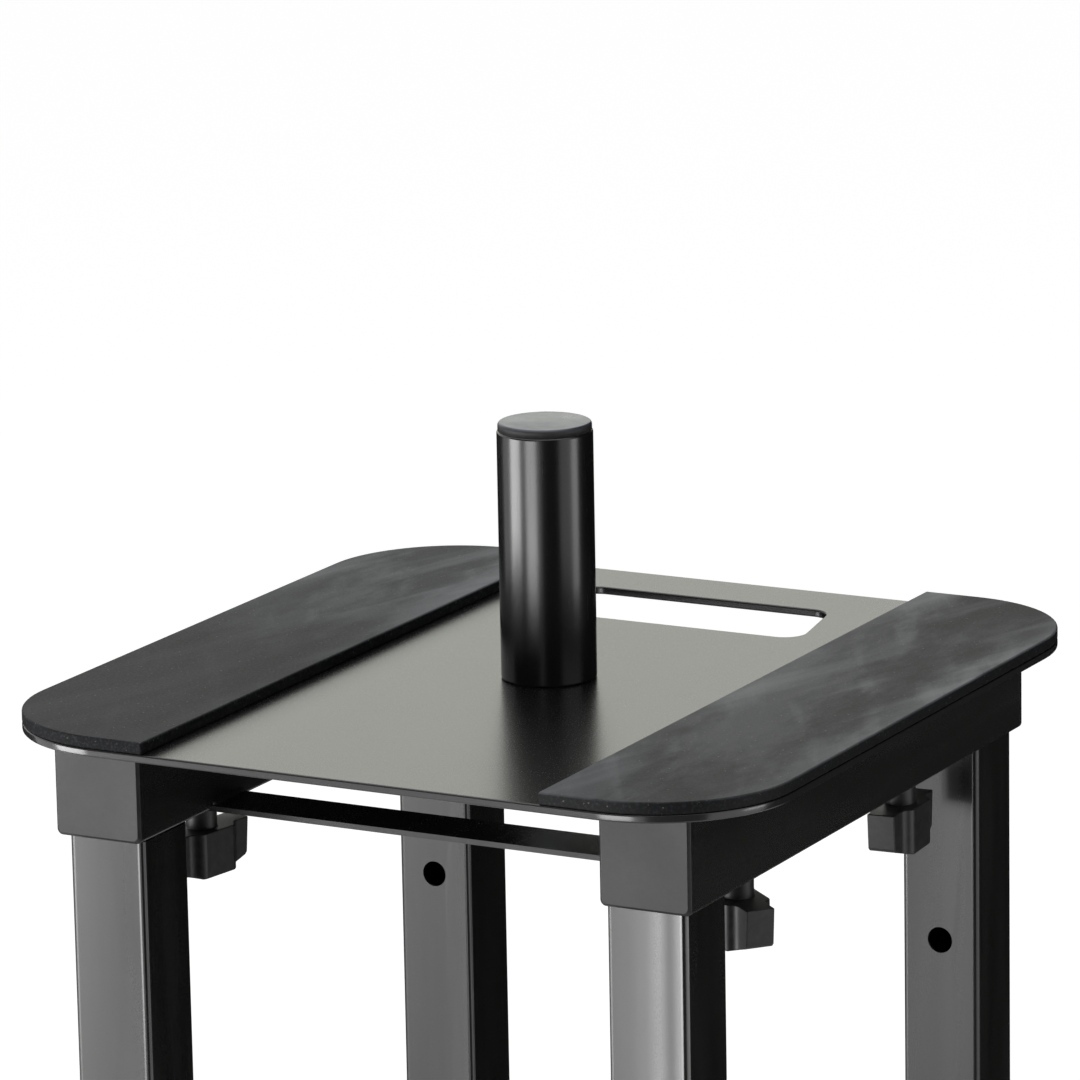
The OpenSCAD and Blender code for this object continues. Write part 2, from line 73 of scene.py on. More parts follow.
# %% Camera
PLATE_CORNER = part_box("top_plate")[1]  # its right, rear and top
PLATE_TOP = PLATE_CORNER.z
AZIMUTH, ELEVATION, ROLL = 0.4928, 0.2316, -0.0188
DISTANCE = 2.4497
TARGET = Vector((-0.00206, -0.00135, PLATE_TOP + 0.05094))
FOCAL_PIXELS, PICTURE_PIXELS = 6766.7, 1080
SENSOR_MM = 36

towards_camera = Vector((math.sin(AZIMUTH) * math.cos(ELEVATION),
                         -math.cos(AZIMUTH) * math.cos(ELEVATION), math.sin(ELEVATION)))
camera_data = bpy.data.cameras.new("photo_camera")
camera_data.sensor_width = SENSOR_MM
camera_data.lens = SENSOR_MM * (FOCAL_PIXELS / PICTURE_PIXELS)
camera_data.clip_end = 60
camera = bpy.data.objects.new("photo_camera", camera_data)
bpy.context.scene.collection.objects.link(camera)
camera.location = TARGET + towards_camera * DISTANCE
upright = towards_camera.to_track_quat("Z", "Y")
camera.rotation_euler = (upright @ Quaternion((0, 0, 1), ROLL)).to_euler()
bpy.context.scene.camera = camera
print("camera at", [round(c, 3) for c in camera.location])
print("lens", round(camera_data.lens, 1), "mm")

# %% [markdown]
# ## Soft boxes
# A black product is drawn by what it reflects. Tall soft boxes on the left and the front give the
# bright fronts of the legs and the upright streaks on the pole, and a weaker one on the right
# lights the rounded edges. A wide one behind is mirrored by the plate, which gives it its tone.

# %% Soft boxes
scene = bpy.context.scene
scene.view_settings.view_transform = "Standard"
MIDDLE = Vector((0, 0, PLATE_TOP))


def around(heading, distance, height):
    """A point round the stand: heading in degrees from +X, seen from above."""
    angle = math.radians(heading)
    return Vector((math.cos(angle) * distance, math.sin(angle) * distance, height))


def soft_box(name, place, width, height, radiance, aim=MIDDLE, colour=(1, 1, 1)):
    """A rectangular light that faces aim. radiance is how bright its face is, whatever its size."""
    lamp = bpy.data.lights.new(name, "AREA")
    lamp.shape = "RECTANGLE"
    lamp.size, lamp.size_y = width, height
    lamp.energy = radiance * math.pi * width * height
    lamp.color = colour
    box = bpy.data.objects.new(name, lamp)
    box.location = place
    box.rotation_euler = (place - aim).to_track_quat("Z", "Y").to_euler()
    box.visible_camera = False
    scene.collection.objects.link(box)


soft_box("left_box", around(-139.5, 2.5, 0.46), 1.25, 0.80, 9.2, around(0, 0, 0.46))
soft_box("front_box", around(-97, 2.6, 0.36), 1.2, 0.72, 6.6, around(0, 0, 0.42))
soft_box("right_box", around(12, 2.6, 0.57), 0.9, 0.54, 3.5, around(0, 0, 0.42))
soft_box("back_box", around(118, 3.2, 1.9), 2.6, 1.6, 0.55, colour=(0.96, 1, 0.76))
soft_box("top_box", Vector((-0.3, 0.2, 3.2)), 2.2, 2.2, 1.35)
print("soft boxes:", sorted(light.name for light in bpy.data.lights))

# %% [markdown]
# ## World, floor and flags
# The world is white for the camera and for reflections, and only a soft fill for everything else.
# Dark flags, which only reflections see, keep the side faces and the rest of the pole black, as
# photographers do.

# %% World, floor and flags
WORLD_FILL = 0.35


def seen_directly(tree):
    """1 for camera, glossy and transmission rays, 0 for the rays that light the object."""
    path = tree.nodes.new("ShaderNodeLightPath")
    total = path.outputs["Is Camera Ray"]
    for kind in ("Is Glossy Ray", "Is Transmission Ray"):
        either = tree.nodes.new("ShaderNodeMath")
        either.operation = "MAXIMUM"
        tree.links.new(total, either.inputs[0])
        tree.links.new(path.outputs[kind], either.inputs[1])
        total = either.outputs[0]
    return total


world = bpy.data.worlds.new("studio")
world.use_nodes = True
scene.world = world
backdrop = world.node_tree.nodes["Background"]
backdrop.inputs["Color"].default_value = (1, 1, 1, 1)
strength = world.node_tree.nodes.new("ShaderNodeMapRange")
strength.inputs["To Min"].default_value = WORLD_FILL
strength.inputs["To Max"].default_value = 1.0
world.node_tree.links.new(seen_directly(world.node_tree), strength.inputs["Value"])
world.node_tree.links.new(strength.outputs[0], backdrop.inputs["Strength"])


def matt_material(name, level):
    """A grey without any gloss, and its main shader."""
    material = bpy.data.materials.new(name)
    material.use_nodes = True
    shader = material.node_tree.nodes["Principled BSDF"]
    shader.inputs["Base Color"].default_value = (level, level, level, 1)
    shader.inputs["Specular IOR Level"].default_value = 0.0
    return material, shader


def floor_material():
    """Matt grey that glows for the camera, more the farther it is, until it meets the backdrop."""
    material, shader = matt_material("pale_floor", 0.4)
    shader.inputs["Roughness"].default_value = 0.9
    shader.inputs["Emission Color"].default_value = (1, 1, 1, 1)
    add, link = material.node_tree.nodes.new, material.node_tree.links.new
    reach, lift, shown = (add("ShaderNodeVectorMath"), add("ShaderNodeMapRange"),
                          add("ShaderNodeMath"))
    reach.operation = "LENGTH"
    lift.interpolation_type = "SMOOTHSTEP"
    for setting, value in {"From Min": 0.6, "From Max": 2.6,
                           "To Min": 0.4, "To Max": 0.85}.items():
        lift.inputs[setting].default_value = value
    shown.operation = "MULTIPLY"
    link(add("ShaderNodeTexCoord").outputs["Object"], reach.inputs[0])
    link(reach.outputs["Value"], lift.inputs["Value"])
    link(lift.outputs[0], shown.inputs[0])
    link(seen_directly(material.node_tree), shown.inputs[1])
    link(shown.outputs[0], shader.inputs["Emission Strength"])
    return material


def flat_panel(name, corners, material):
    """A four-cornered sheet that belongs to the studio and not to the stand."""
    mesh = bpy.data.meshes.new(name)
    mesh.from_pydata(corners, [], [(0, 1, 2, 3)])
    mesh.materials.append(material)
    panel = bpy.data.objects.new(name, mesh)
    scene.collection.objects.link(panel)
    return panel


def dark_flag(name, heading, distance, half_width, height, base):
    """An upright black cloth that only reflections see."""
    middle, aside = around(heading, distance, base), around(heading + 90, half_width, 0)
    up = Vector((0, 0, height - base))
    flag = flat_panel(name, [middle - aside, middle + aside, middle + aside + up,
                             middle - aside + up], flag_cloth)
    for ray in ("camera", "diffuse", "transmission", "volume_scatter", "shadow"):
        setattr(flag, "visible_" + ray, False)


FLOOR_HALF = 30
flat_panel("studio_floor", [(-FLOOR_HALF, -FLOOR_HALF, 0), (FLOOR_HALF, -FLOOR_HALF, 0),
                            (FLOOR_HALF, FLOOR_HALF, 0), (-FLOOR_HALF, FLOOR_HALF, 0)],
           floor_material())
flag_cloth = matt_material("flag_cloth", 0.01)[0]
FLAGS = {  # heading, distance, half width, height and base
    "right_flag": (60, 1.1, 0.92, 2.6, 0.0),
    "front_flag": (-51, 1.2, 0.48, 2.0, 0.0),
    "left_flag": (162, 1.5, 0.45, 0.84, 0.0),
    "back_flag": (118, 1.2, 0.9, 1.02, 0.0),
    "high_cloth": (-118, 2.8, 2.0, 3.4, 0.9)}
for name, measures in FLAGS.items():
    dark_flag(name, *measures)
print("a floor, and flags:", ", ".join(FLAGS))

# %% [markdown]
# ## A shorthand for finishes
# A finish is a chain of noises, masks and bumps, which soon becomes hard to read as bare nodes.
# The two small classes here let a finish be written as sums and products. A Level wraps one
# socket, and its operators add Math nodes. A Finish makes any other node in one call.

# %% Finish and Level
X, Y, Z = 0, 1, 2
MIX_FIRST, MIX_SECOND, MIX_RESULT = 6, 7, 2  # the colour sockets of a Mix node


class Level:
    """A shader value that takes part in Python sums and products."""

    def __init__(self, finish, socket):
        self.finish, self.socket = finish, socket

    def _maths(self, operation, first, second):
        return self.finish.node("ShaderNodeMath", {0: first, 1: second}, operation=operation)

    def __add__(self, other):
        return self._maths("ADD", self, other)

    def __sub__(self, other):
        return self._maths("SUBTRACT", self, other)

    def __rsub__(self, other):
        return self._maths("SUBTRACT", other, self)

    def __mul__(self, other):
        return self._maths("MULTIPLY", self, other)

    def __pow__(self, other):
        return self._maths("POWER", self, other)

    def between(self, low, high):
        """0 below low, 1 above high, and smooth between them."""
        return self.finish.node(
            "ShaderNodeMapRange", {"Value": self, "From Min": low, "From Max": high},
            interpolation_type="SMOOTHSTEP")


class Finish:
    """One material: its nodes are made with node(), and its main shader is set with surface()."""

    def __init__(self, name):
        self.material = bpy.data.materials.new(name)
        self.material.use_nodes = True
        self.tree = self.material.node_tree
        self.shader = self.tree.nodes["Principled BSDF"]
        self.place = self.node("ShaderNodeTexCoord", out="Object")

    def node(self, kind, inputs=None, out=0, **settings):
        made = self.tree.nodes.new(kind)
        for setting, value in settings.items():
            setattr(made, setting, value)
        for key, value in (inputs or {}).items():
            self.feed(made.inputs[key], value)
        return Level(self, made.outputs[out])

    def feed(self, socket, value):
        if isinstance(value, Level):
            self.tree.links.new(value.socket, socket)
        else:
            socket.default_value = value

    def noise(self, scale, detail=2.0, stretch=(1, 1, 1), shift=0.0, roughness=0.5, turn=0.0):
        """Noise on the piece's own metres: scale 1000 gives grains of about a millimetre."""
        turned = self.node("ShaderNodeMapping", {"Vector": self.place, "Rotation": (0, 0, turn)})
        at = self.node("ShaderNodeMapping", {"Vector": turned, "Scale": stretch,
                                             "Location": (shift, shift * 0.7, shift * 1.3)})
        return self.node("ShaderNodeTexNoise", {"Vector": at, "Scale": scale, "Detail": detail,
                                                "Roughness": roughness})

    def along(self, axis):
        """The piece's own x, y or z, in metres."""
        return self.node("ShaderNodeSeparateXYZ", {0: self.place}, out=axis)

    def steps(self, value, stops):
        """A smooth curve through (position, level) stops, for a value from 0 to 1."""
        curve = self.node("ShaderNodeValToRGB", {"Fac": value})
        ramp = curve.socket.node.color_ramp
        ramp.interpolation = "EASE"
        while len(ramp.elements) < len(stops):
            ramp.elements.new(0.5)
        for index, (position, level) in enumerate(stops):
            ramp.elements[index].position = position
            ramp.elements[index].color = (level, level, level, 1)
        return curve

    def specks(self, scale, size, shift=0.0):
        """Scattered dots: 1 inside a dot. size is a dot's share of its cell."""
        at = self.node("ShaderNodeMapping", {"Vector": self.place,
                                             "Location": (shift, shift, shift)})
        cells = self.node("ShaderNodeTexVoronoi", {"Vector": at, "Scale": scale}, out="Distance")
        return 1 - cells.between(size * 0.6, size)

    def blend(self, mask, first, second):
        first, second = ((*colour, 1) if isinstance(colour, tuple) else colour
                         for colour in (first, second))
        return self.node("ShaderNodeMix", {0: mask, MIX_FIRST: first, MIX_SECOND: second},
                         out=MIX_RESULT, data_type="RGBA")

    def relief(self, height_mm):
        """Bump from a height in millimetres."""
        return self.node("ShaderNodeBump", {"Height": height_mm, "Distance": MM, "Strength": 1.0})

    def surface(self, **sockets):
        """Sets or feeds the main shader's sockets, named with _ for a space."""
        for name, value in sockets.items():
            self.feed(self.shader.inputs[name.replace("_", " ")], value)
        return self.material


def grey(level, warmth=0.0):
    """A near-neutral colour, a little warmer, or cooler where warmth is below 0."""
    return (level * (1 + warmth), level * (1 + warmth * 0.4), level * (1 - warmth))


finishes = {}
print("a warm grey:", [round(c, 3) for c in grey(0.5, 0.1)])

# %% [markdown]
# ## Powder coat and paint
# Powder coat flows as it bakes and sets with a faint orange peel, finer than a millimetre high and
# a millimetre or two across. Seen almost flat-on, as the plate is here, it mirrors the studio in a
# soft blur, so the height of the peel and the roughness matter more than the colour. Sheet and
# tube are also never quite flat: a slow wave of a tenth of a millimetre bends the reflections.
# Where the powder lies thicker, it flows out to a gloss, which is drawn as a clear coat.

# %% Coats
GLOSS_BLUR = 0.14  # the roughness of the coat where it is thick


def powder_coat(name, colour, roughness, peel=0.0035, uneven=1.0, grain_way=(1, 1, 1),
                specular=0.5, swell=None, bands=None, rim_of=None):
    """swell and bands hold what swell_of and bands_of take, and rim_of is the upper corner of a
    plate whose rim is glossier than its top and is painted a paler grey, a painted highlight."""
    finish = Finish(name)
    orange_peel = finish.noise(620, 1.5)
    grain = finish.noise(2600, 2.0, shift=3)
    slow = finish.noise(8, 1.0, shift=7)
    cloud = finish.noise(24, 4.0, shift=11)
    drawn = finish.noise(70, 3.0, stretch=grain_way, shift=15)
    pits = finish.specks(260, 0.11, shift=5)
    height = (orange_peel * peel + grain * (peel * 0.25) + slow * (0.12 * uneven)
              - pits * (0.01 * uneven))
    low, high = (tuple(c * (1 + part * uneven) for c in colour) for part in (-0.3, 0.6))
    tone = finish.blend(drawn.between(0.35, 0.7), low, high)
    tone = finish.blend(pits * (0.5 * uneven), tone, tuple(min(1, c * 2.2) for c in colour))
    rough = ((cloud - 0.5) * (0.10 * uneven) + (drawn - 0.5) * (0.14 * uneven)
             + (grain - 0.5) * 0.08 + roughness)
    if swell:
        height = height - swell_of(finish, *swell)
    if bands:
        thick = bands_of(finish, *bands)
        rough = rough + 0.07 - thick * 0.13
        finish.surface(Coat_Weight=thick, Coat_Roughness=GLOSS_BLUR)
    if rim_of:
        rim = rim_mask(finish, rim_of)
        rough = rough - rim * 0.08
        # Painted highlight: the rim is painted a paler grey than the plate's top.
        tone = finish.blend(rim, tone, grey(0.03))
        finish.surface(Coat_Weight=rim * 0.35, Coat_Roughness=GLOSS_BLUR)
    return finish.surface(Base_Color=tone, Specular_IOR_Level=specular, Roughness=rough,
                          Normal=finish.relief(height))


def swell_of(finish, crest, half_width, rise_mm, lean):
    """The faint outward swell of a square tube's faces: 0 at its crest and rise_mm at half_width
    from it. lean is in mm per metre of height."""
    across, deep = finish.along(X) - crest.x, finish.along(Y) - crest.y
    return (across * across + deep * deep) * (rise_mm / half_width ** 2) + finish.along(Z) * lean


def bands_of(finish, left, width, stops):
    """How thick the coat lies on a leg: upright bands, from its left side to its right."""
    return finish.steps((finish.along(X) - left) * (1 / width), stops)


def rim_mask(finish, corner):
    """1 on a plate's rim, below the edge of its top and outside a rounded square within it."""
    across, deep = finish.along(X) * (1 / corner.x), finish.along(Y) * (1 / corner.y)
    outside = ((across * across) ** 4 + (deep * deep) ** 4).between(0.45, 0.65)
    return (1 - finish.along(Z).between(corner.z - 0.6 * MM, corner.z - 0.2 * MM)) * outside


finishes["plate_paint"] = powder_coat("plate_powder_coat", grey(0.004), 0.26, 0.002, 0.08,
                                      rim_of=PLATE_CORNER)
finishes["frame_paint"] = powder_coat("frame_powder_coat", grey(0.028, 0.02), 0.26, uneven=0.4,
                                      grain_way=(1, 0.1, 1))

# No tube is quite square or upright, so each leg has its own swell, lean and bands. aside_mm is
# how far the crest of the swell lies beside the leg's middle, and each band's level stands at its
# place across the leg. The front right leg has the thickest coat.
BAND_PLACES = (0.0, 0.25, 0.45, 0.65, 0.79, 0.92)
SWELL_MM = 0.35
for corner, aside_mm, lean, specular, levels in (
        ("front_left", -2, 8, 0.56, (0.25, 0.25, 0.25, 0.35, 0.7, 0.8)),
        ("front_right", -22, 24, 0.9, (0.0, 0.1, 0.35, 1.0, 0.1, 1.0)),
        ("rear_left", 0, 8, 0.48, (0.0, 0.1, 0.2, 0.4, 0.6, 0.9)),
        ("rear_right", 4, 3, 0.40, (0.8, 0.85, 0.8, 0.85, 0.7, 0.5))):
    low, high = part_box("upper_leg_" + corner)
    width = (high - low).x
    crest = (low + high) / 2 + Vector((aside_mm * MM, 0, 0))
    finishes["leg_paint_" + corner] = powder_coat(
        "leg_powder_coat_" + corner, grey(0.015, 0.02), 0.30, 0.0028, 0.7, (1, 1, 0.1), specular,
        swell=(crest, width / 2, SWELL_MM, lean),
        bands=(low.x, width, tuple(zip(BAND_PLACES, levels))))


def pole_paint():
    """Smooth paint with a clear gloss on top, and hair-fine marks where sockets slid over it."""
    finish = Finish("pole_semi_gloss")
    cloud = finish.noise(40, 3.0)
    marks = finish.noise(900, 3.0, stretch=(1, 1, 0.04), shift=4)
    peel = finish.noise(700, 1.0, shift=2)
    return finish.surface(
        Base_Color=finish.blend(marks.between(0.62, 0.8), grey(0.008), grey(0.012)),
        Roughness=(cloud - 0.5) * 0.08 + marks.between(0.6, 0.8) * 0.04 + 0.25,
        Coat_Weight=0.22, Coat_Roughness=0.18,
        Normal=finish.relief(peel * 0.002 + marks * 0.0003))


finishes["pole_paint"] = pole_paint()
print("coats:", sorted(finishes))

# %% [markdown]
# ## Rubber
# The pads are cut from sheet rubber, which is dull and smudged: handling leaves paler clouds and
# wiped streaks, and the cut edge shows pale crumbs.

# %% Rubber
REAR_PALENESS = 0.16  # how much paler than its front a pad is all over its rear


def rubber(name, dark, pale, roughness, shine=0.3, sheet=None, front_share=1.0):
    """Cut or moulded rubber. sheet is a pad's box: its smudges lie on the top, its long borders are
    paler, and at its front the smudges are weaker by front_share."""
    finish = Finish(name)
    smudge = finish.noise(24, 6.0, stretch=(1, 0.35, 1), roughness=0.62)
    wiped = finish.noise(60, 5.0, stretch=(1, 0.1, 1), shift=9, turn=0.3)
    arcs = finish.noise(85, 4.0, stretch=(1, 0.16, 1), shift=14, turn=-0.5)
    grain = finish.noise(1900, 3.0, shift=2)
    dust = finish.noise(900, 4.0, shift=5, roughness=0.75)
    crumbs = finish.specks(420, 0.16, shift=8)
    mask = (smudge.between(0.41, 0.64) * 0.42 + wiped.between(0.48, 0.70) * 0.33
            + arcs.between(0.5, 0.68) * smudge.between(0.42, 0.55) * 0.25)
    if sheet:
        low, high = sheet
        across = (finish.along(X) - (low.x + high.x) / 2) * (2 / (high.x - low.x))
        border = (across ** 2).between(0.25, 0.9)
        rear = finish.along(Y).between(-0.06, 0.14)
        on_top = finish.along(Z).between(high.z - 0.8 * MM, high.z - 0.2 * MM)
        mask = mask + border * (wiped * 0.8 - 0.1)
        mask = mask * front_share + (mask + REAR_PALENESS) * rear * (1 - front_share)
        mask = mask * on_top
        above_cut = finish.along(Z).between(high.z - 2.2 * MM, high.z - 1.2 * MM)
        below_top = 1 - finish.along(Z).between(high.z - 0.4 * MM, high.z - 0.1 * MM)
        crumbs = crumbs + finish.specks(300, 0.13, shift=3) * above_cut * below_top
    tone = finish.blend(mask, grey(dark, -0.12), grey(pale, -0.07))
    tone = finish.blend(dust.between(0.45, 0.75) * 0.2, tone, grey(pale, -0.07))
    tone = finish.blend(crumbs * grain.between(0.5, 0.62), tone, grey(0.2))
    return finish.surface(Base_Color=tone, Specular_IOR_Level=shine,
                          Roughness=mask * -0.12 + (grain - 0.5) * 0.2 + roughness,
                          Normal=finish.relief(grain * 0.02 + dust * 0.04 + smudge * 0.15))


for side, pale, shine, front_share in (("left", 0.18, 0.13, 0.13), ("right", 0.125, 0.2, 0.85)):
    finishes["pad_rubber_" + side] = rubber("pad_sheet_rubber_" + side, 0.005, pale, 0.62, shine,
                                            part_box("pad_" + side), front_share)
finishes["foot_rubber"] = rubber("foot_moulded_rubber", 0.010, 0.018, 0.7)
print("rubbers:", sorted(name for name in finishes if "rubber" in name))

# %% [markdown]
# ## Plastic
# The plugs, the cap and the knobs are moulded, with a fine spark-eroded grain and faint sink
# marks. The cap's flat top is smoother than its side, and it is painted paler and cooler: a
# painted highlight, cooled against the yellow light of the back box.

# %% Plastic


def moulded_plastic(name, level, roughness, spark=0.012, warmth=0.0, top=None):
    """top is the height of a smooth flat end, which alone is painted paler and takes the warmth: a
    painted highlight.
    """
    finish = Finish(name)
    grain = finish.noise(1500, 2.0)
    flow = finish.noise(45, 3.0, shift=6)
    sink = finish.noise(18, 0.0, shift=1)
    mottle = finish.noise(320, 4.0, shift=12)
    tone = finish.blend(mottle.between(0.35, 0.7), grey(level * 0.8), grey(level * 1.3))
    rough = (flow - 0.5) * 0.26 + (mottle - 0.5) * 0.1 + roughness
    if top:
        lid_gloss_and_painted_light = finish.along(Z).between(top - 0.8 * MM, top - 0.1 * MM)
        # Painted highlight: the lid is painted 1.4 times paler, and cooler where warmth is below 0.
        tone = finish.blend(lid_gloss_and_painted_light, tone, grey(level * 1.4, warmth))
        rough = rough + 0.25 - lid_gloss_and_painted_light * 0.25
    return finish.surface(Base_Color=tone, Roughness=rough,
                          Normal=finish.relief(grain * spark + sink * 0.25))


finishes["plug_plastic"] = moulded_plastic("plug_plastic", 0.015, 0.44)
# The cap's lid is painted cool, against the yellow light of the back box.
finishes["cap_plastic"] = moulded_plastic("cap_plastic", 0.022, 0.33, 0.008, -0.55,
                                          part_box("pole_cap")[1].z)
finishes["knob_plastic"] = moulded_plastic("knob_plastic", 0.023, 0.46, 0.006)
print("plastics:", sorted(name for name in finishes if "plastic" in name))

# %% [markdown]
# ## Metal
# The screws, nuts and washers are zinc plated, with a bluish, slightly streaked shine. The lock
# pins are turned bright, and their springs are dark drawn wire.

# %% Metal


def bare_metal(name, level, roughness, streak, tint=0.0):
    """Turned, drawn or plated steel: streaks across its length, and cloudy plating."""
    finish = Finish(name)
    lines = finish.noise(1400, 3.0, stretch=streak)
    cloud = finish.noise(90, 4.0, shift=5)
    tone = finish.blend(cloud.between(0.3, 0.7), grey(level * 0.82, tint), grey(level, tint))
    return finish.surface(Base_Color=tone, Metallic=1.0,
                          Roughness=(lines - 0.5) * 0.18 + (cloud - 0.5) * 0.12 + roughness,
                          Normal=finish.relief(lines * 0.004))


finishes["zinc_steel"] = bare_metal("zinc_plating", 0.62, 0.34, (1, 1, 0.2), -0.03)
finishes["pin_steel"] = bare_metal("turned_steel", 0.66, 0.24, (0.1, 1, 0.1))
finishes["spring_steel"] = bare_metal("spring_wire", 0.42, 0.3, (1, 1, 1))
print("metals:", sorted(name for name in finishes if "steel" in name))

# %% [markdown]
# ## Put the finishes on
# Each CAD node names the finish that it is made of, so one loop dresses them all. Only the legs
# and the pads have one for each corner or side.

# %% Dress the CAD nodes


def dress(piece, finish):
    piece.data.materials.clear()
    piece.data.materials.append(finishes[finish])


def finish_of(node):
    """The finish's name: its material slot, with the corner or side where each has its own."""
    slot = slot_of_node[node]
    if "_leg_" in node:
        return "leg_paint" + node.partition("_leg")[2]
    return slot + node[len("pad"):] if slot == "pad_rubber" else slot


for node, cad_piece in nodes.items():
    for place in cad_piece.material_slots:
        place.material = finishes[finish_of(node)]
print("finishes in use:", sorted({finish_of(node) for node in nodes}))

# %% [markdown]
# ## Rounded edges
# No real edge is sharp: sheet is deburred, tube is rolled, and a moulding leaves its tool with a
# small radius. That radius is what shows as a bright line. A CAD mesh is loose triangles, so a
# copy is welded, its flat faces are made whole, and a Bevel modifier rounds what is left. The copy
# then replaces its node, and it keeps the node's place and size. A width of 0 only smooths.

# %% Soft edges
WELD_DISTANCE = 2e-6
FLAT_ANGLE, SHARP_ANGLE = math.radians(0.4), math.radians(28)
FINE_FROM_MM = 0.6  # a wider rounding than this has one more facet


def softened(node, width_mm):
    """Draws a CAD node again, its edges rounded by width_mm."""
    mesh = bpy.data.meshes.new(node + "_soft")
    shape = bmesh.new()
    shape.from_mesh(nodes[node].data)
    bmesh.ops.remove_doubles(shape, verts=shape.verts, dist=WELD_DISTANCE)
    if width_mm:
        bmesh.ops.dissolve_limit(shape, angle_limit=FLAT_ANGLE, verts=shape.verts,
                                 edges=shape.edges)
    shape.to_mesh(mesh)
    shape.free()
    mesh.shade_smooth()
    mesh.set_sharp_from_angle(angle=SHARP_ANGLE)
    piece = bpy.data.objects.new(node + "_soft", mesh)
    scene.collection.objects.link(piece)
    if width_mm:
        rounding = piece.modifiers.new("rounding", "BEVEL")
        rounding.limit_method = "ANGLE"
        rounding.angle_limit = SHARP_ANGLE
        rounding.width = width_mm / 1000
        rounding.segments = 3 if width_mm > FINE_FROM_MM else 2
        rounding.use_clamp_overlap = True
    flats = piece.modifiers.new("flats", "WEIGHTED_NORMAL")
    flats.keep_sharp = not width_mm
    dress(piece, finish_of(node))
    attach(piece, body_of_node[node])
    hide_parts(node)


rounding_mm = {
    "top_plate": 0.7, "base_plate": 0.7, "pad_left": 0.7, "pad_right": 0.7, "leg_collars": 0.8,
    "upper_strap_front": 0.3, "upper_strap_rear": 0.3,
    "lower_strap_front": 0.3, "lower_strap_rear": 0.3, "pole_tube": 0.9, "pole_cap": 0.0,
    "upper_beam_left": 0.0, "upper_beam_right": 0.0,
    "lower_beam_left": 0.0, "lower_beam_right": 0.0, "lower_plugs": 0.5, "lock_housings": 0.5}
for corner in CORNERS:
    rounding_mm.update({
        "upper_plug_" + corner: 0.5, "top_knob_" + corner: 0.9, "lock_knob_" + corner: 0.7,
        "foot_" + corner: 0.8, "upper_leg_" + corner: 0.0, "lower_leg_" + corner: 0.0})
for node, width_mm in rounding_mm.items():
    softened(node, width_mm)
print(len(rounding_mm), "nodes drawn again with soft edges")

# %% [markdown]
# ## Grown details
# A weld bead and a ring of ribs are small shapes that repeat, so Geometry Nodes lay them. Both
# trees take a guide mesh and a finish, and both end by shading and painting what they have made.

# %% What both trees share


def new_tree(name, settings):
    """An empty tree with its input and output nodes. Each setting is a count or a size."""
    tree = bpy.data.node_groups.new(name, "GeometryNodeTree")
    face = tree.interface
    face.new_socket("Geometry", in_out="INPUT", socket_type="NodeSocketGeometry")
    for setting, value in settings.items():
        kind = "NodeSocketInt" if isinstance(value, int) else "NodeSocketFloat"
        face.new_socket(setting, in_out="INPUT", socket_type=kind).default_value = value
    face.new_socket("Finish", in_out="INPUT", socket_type="NodeSocketMaterial")
    face.new_socket("Geometry", in_out="OUTPUT", socket_type="NodeSocketGeometry")
    return tree, tree.nodes.new("NodeGroupInput"), tree.nodes.new("NodeGroupOutput")


def wire(tree, *pairs):
    """Links each output to its input."""
    for source, target in pairs:
        tree.links.new(source, target)


def end_tree(tree, given, result, made):
    """Turns instances into mesh, shades and paints it, and hands it out."""
    real, smooth, paint = (tree.nodes.new("GeometryNode" + kind)
                           for kind in ("RealizeInstances", "SetShadeSmooth", "SetMaterial"))
    wire(tree, (made, real.inputs[0]),
         (real.outputs[0], smooth.inputs[0]),
         (smooth.outputs[0], paint.inputs["Geometry"]),
         (given.outputs["Finish"], paint.inputs["Material"]),
         (paint.outputs[0], result.inputs[0]))
    return tree


def grown(name, guide_mesh, tree, body, finish, **settings):
    """Runs a tree on a guide mesh, keeps the result as a plain mesh, and lets it ride on a body."""
    settings["Finish"] = finishes[finish]
    guide = bpy.data.objects.new(name + "_guide", guide_mesh)
    scene.collection.objects.link(guide)
    grower = guide.modifiers.new("grow", "NODES")
    grower.node_group = tree
    for socket in tree.interface.items_tree:
        if socket.in_out == "INPUT" and socket.name in settings:
            grower[socket.identifier] = settings[socket.name]
    bpy.context.view_layer.update()
    ready = guide.evaluated_get(bpy.context.evaluated_depsgraph_get())
    mesh = bpy.data.meshes.new_from_object(ready)
    bpy.data.objects.remove(guide)
    mesh.name = name
    piece = bpy.data.objects.new(name, mesh)
    scene.collection.objects.link(piece)
    dress(piece, finish)
    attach(piece, body)
    print(name, len(mesh.polygons), "faces")


# %% [markdown]
# ## Weld beads
# The lower legs and the straps are welded to their beams. A hand-laid bead is a row of overlapping
# ripples, each a cooled puddle. Its tree resamples a polyline and places a puddle at each point,
# a little larger or smaller at random, from a fixed seed.

# %% The bead's tree
RANDOM_MIN, RANDOM_MAX, RANDOM_VALUE = 2, 3, 1  # the sockets of a Random Value node's numbers


